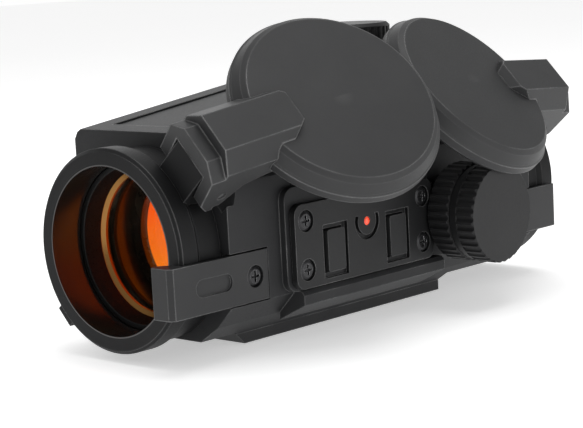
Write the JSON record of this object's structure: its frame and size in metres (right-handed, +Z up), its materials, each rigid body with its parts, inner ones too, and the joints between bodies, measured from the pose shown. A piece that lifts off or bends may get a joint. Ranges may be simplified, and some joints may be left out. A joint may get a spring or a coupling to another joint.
{
  "type": "red dot finder",
  "caption": "Tubular red dot finder with flip lids folded along the body, hooked side brackets, a screwed button panel and knurled adjustment knobs.",
  "frame": {"origin": "centre of the base's flat underside", "axes": "+X along the optical axis from the front mouth to the rear mouth, -Y towards the control panel, +Z up"},
  "size_m": [0.1429, 0.074, 0.0728],
  "materials": {
    "button_rubber": "satin",
    "board_laminate": "satin",
    "cell_steel": "bright",
    "spring_steel": "bright",
    "bore_black": "glossy black",
    "indicator_red": "translucent red",
    "bracket_alloy": "matte black anodised",
    "screw_steel": "blackened, bright edges",
    "ring_alloy": "matte black anodised",
    "lid_plastic": "fine matte moulded charcoal",
    "clear_glass": "polished",
    "seal_rubber": "matte",
    "housing_plastic": "fine matte moulded charcoal",
    "amber_mirror": "polished, amber coated",
    "panel_plastic": "satin charcoal",
    "knob_alloy": "matte black anodised, knurled"
  },
  "bodies": {
    "chassis": {"circuit_board": "board_laminate", "contact_spring": "spring_steel", "emitter_holder": "bore_black", "emitter_lamp": "indicator_red", "front_bracket": "bracket_alloy", "front_bracket_screw": "screw_steel", "front_hinge_block": "ring_alloy", "front_hinge_coil": "spring_steel", "front_hinge_pin": "spring_steel", "front_ring": "ring_alloy", "front_window": "clear_glass", "front_window_retainer": "bore_black", "front_window_seal": "seal_rubber", "housing": "housing_plastic", "indicator_lamp": "indicator_red", "indicator_lens": "indicator_red", "lens_cell": "bore_black", "mirror_lens": "amber_mirror", "panel_cover": "panel_plastic", "panel_gasket": "seal_rubber", "panel_screws": "screw_steel", "rear_bracket": "bracket_alloy", "rear_bracket_screw": "screw_steel", "rear_hinge_block": "ring_alloy", "rear_hinge_coil": "spring_steel", "rear_hinge_pin": "spring_steel", "rear_ring": "ring_alloy", "rear_window": "clear_glass", "rear_window_retainer": "bore_black", "rear_window_seal": "seal_rubber", "side_knob_seal": "seal_rubber", "side_knob_spindle": "knob_alloy", "tact_switches": "board_laminate", "top_collar": "knob_alloy", "top_plate": "housing_plastic"},
    "front_lid_body": {"front_lid": "lid_plastic", "front_lid_arm": "lid_plastic"},
    "rear_lid_body": {"rear_lid": "lid_plastic", "rear_lid_arm": "lid_plastic"},
    "front_button_body": {"button_front": "button_rubber"},
    "rear_button_body": {"button_rear": "button_rubber"},
    "top_knob_body": {"top_knob": "knob_alloy", "top_spindle": "knob_alloy", "top_knob_seal": "seal_rubber"},
    "side_ring_body": {"side_knob_inner": "knob_alloy"},
    "side_cap_body": {"side_knob_cap": "knob_alloy", "coin_cell": "cell_steel"}
  },
  "joints": [
    {"name": "front_lid_flip", "type": "hinge", "parent": "chassis", "child": "front_lid_body", "pos_m": [-0.05205, -0.02035, 0.04325], "axis": [0, -0.6756, -0.7373], "range_deg": [-12, 64]},
    {"name": "rear_lid_flip", "type": "hinge", "parent": "chassis", "child": "rear_lid_body", "pos_m": [0.06555, -0.02165, 0.04479], "axis": [0, 0.682, 0.7314], "range_deg": [0, 76]},
    {"name": "front_button_press", "type": "slide", "parent": "chassis", "child": "front_button_body", "axis": [0, 1, 0], "range_m": [0, 0.0007], "stiffness_N_per_m": 400},
    {"name": "rear_button_press", "type": "slide", "parent": "chassis", "child": "rear_button_body", "axis": [0, 1, 0], "range_m": [0, 0.0007], "stiffness_N_per_m": 400},
    {"name": "top_knob_turn", "type": "hinge", "parent": "chassis", "child": "top_knob_body", "pos_m": [0.02625, 0.0062, 0.06], "axis": [0, 0, 1], "range_deg": [-360, 360]},
    {"name": "side_ring_turn", "type": "hinge", "parent": "chassis", "child": "side_ring_body", "pos_m": [0.02625, -0.03, 0.0232], "axis": [0, -1, 0], "range_deg": [-360, 360]},
    {"name": "side_cap_turn", "type": "hinge", "parent": "chassis", "child": "side_cap_body", "pos_m": [0.02625, -0.039, 0.0232], "axis": [0, -1, 0], "range_deg": [0, 90]}
  ]
}
